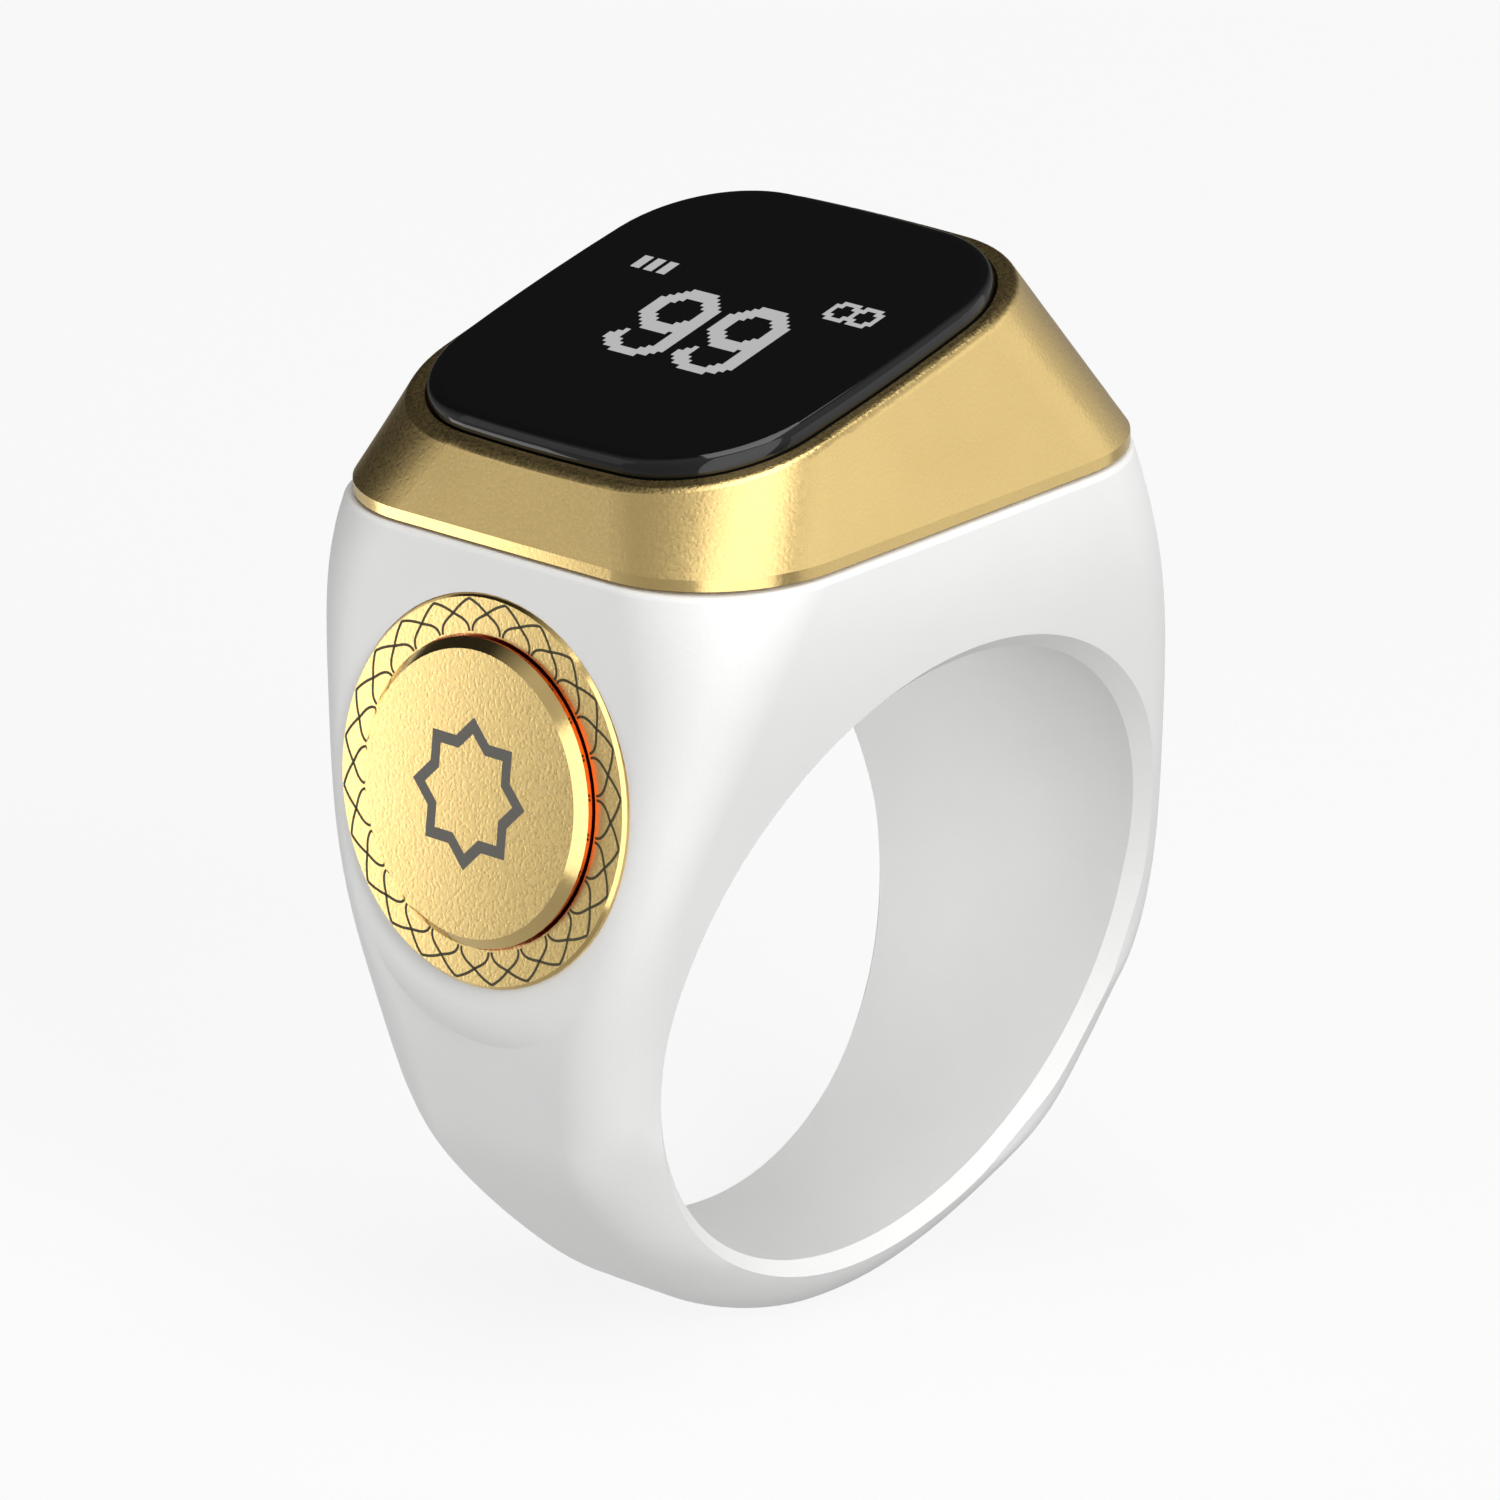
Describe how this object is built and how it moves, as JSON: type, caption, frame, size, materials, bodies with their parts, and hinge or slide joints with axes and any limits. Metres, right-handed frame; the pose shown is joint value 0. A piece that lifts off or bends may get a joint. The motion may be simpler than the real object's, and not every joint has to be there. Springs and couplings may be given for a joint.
{
  "type": "digital tasbih counter",
  "caption": "Finger ring counter: white band with a side push button and a sloped gold bezel that frames a dark rounded display.",
  "frame": {"origin": "centre of the finger bore", "axes": "+Y along the bore's axis, +Z from the finger up to the display, -X to the push button"},
  "size_m": [0.0255, 0.018, 0.0332],
  "materials": {
    "white_plastic": "fine matte texture",
    "gold_metal": "sandblasted gold plating with polished edges",
    "dark_glass": "polished smoked glass",
    "display_glass": "thin black display glass",
    "clear_bond": "clear optical adhesive",
    "black_adhesive": "black foam adhesive",
    "silicone": "dark grey silicone",
    "amber_film": "amber polyimide film",
    "spring_steel": "bright stamped steel",
    "steel_screw": "dark zinc plated steel",
    "board_laminate": "green solder mask",
    "black_plastic": "moulded black plastic",
    "ceramic": "fired ceramic with tinned ends",
    "battery_pouch": "aluminium laminated pouch",
    "lead_jacket": "red wire insulation",
    "contact_gold": "polished gold plated contact"
  },
  "bodies": {
    "body": {"ring_body": "white_plastic", "bezel": "gold_metal", "bezel_seal": "black_adhesive", "display_lens": "dark_glass", "lens_adhesive": "black_adhesive", "display_bond": "clear_bond", "oled_panel": "display_glass", "display_flex": "amber_film", "display_carrier": "spring_steel", "carrier_screws": "steel_screw", "main_board": "board_laminate", "bluetooth_chip": "black_plastic", "clock_crystal": "spring_steel", "chip_antenna": "ceramic", "board_capacitors": "ceramic", "battery_tape": "black_adhesive", "battery": "battery_pouch", "battery_leads": "lead_jacket", "motor_tape": "black_adhesive", "vibration_motor": "spring_steel", "motor_leads": "lead_jacket", "charge_pins": "contact_gold", "charge_flex": "amber_film", "button_trim": "gold_metal", "button_gasket": "silicone", "switch_board": "board_laminate", "switch_housing": "black_plastic", "switch_dome": "spring_steel", "switch_cover": "spring_steel", "switch_flex": "amber_film"},
    "button": {"count_button": "gold_metal", "switch_plunger": "black_plastic"}
  },
  "joints": [
    {"name": "button_press", "type": "slide", "parent": "body", "child": "button", "axis": [0.9936, 0, -0.1132], "range_m": [0, 0.0002], "stiffness_N_per_m": 4000, "deforming": ["switch_dome", "button_gasket"]}
  ]
}
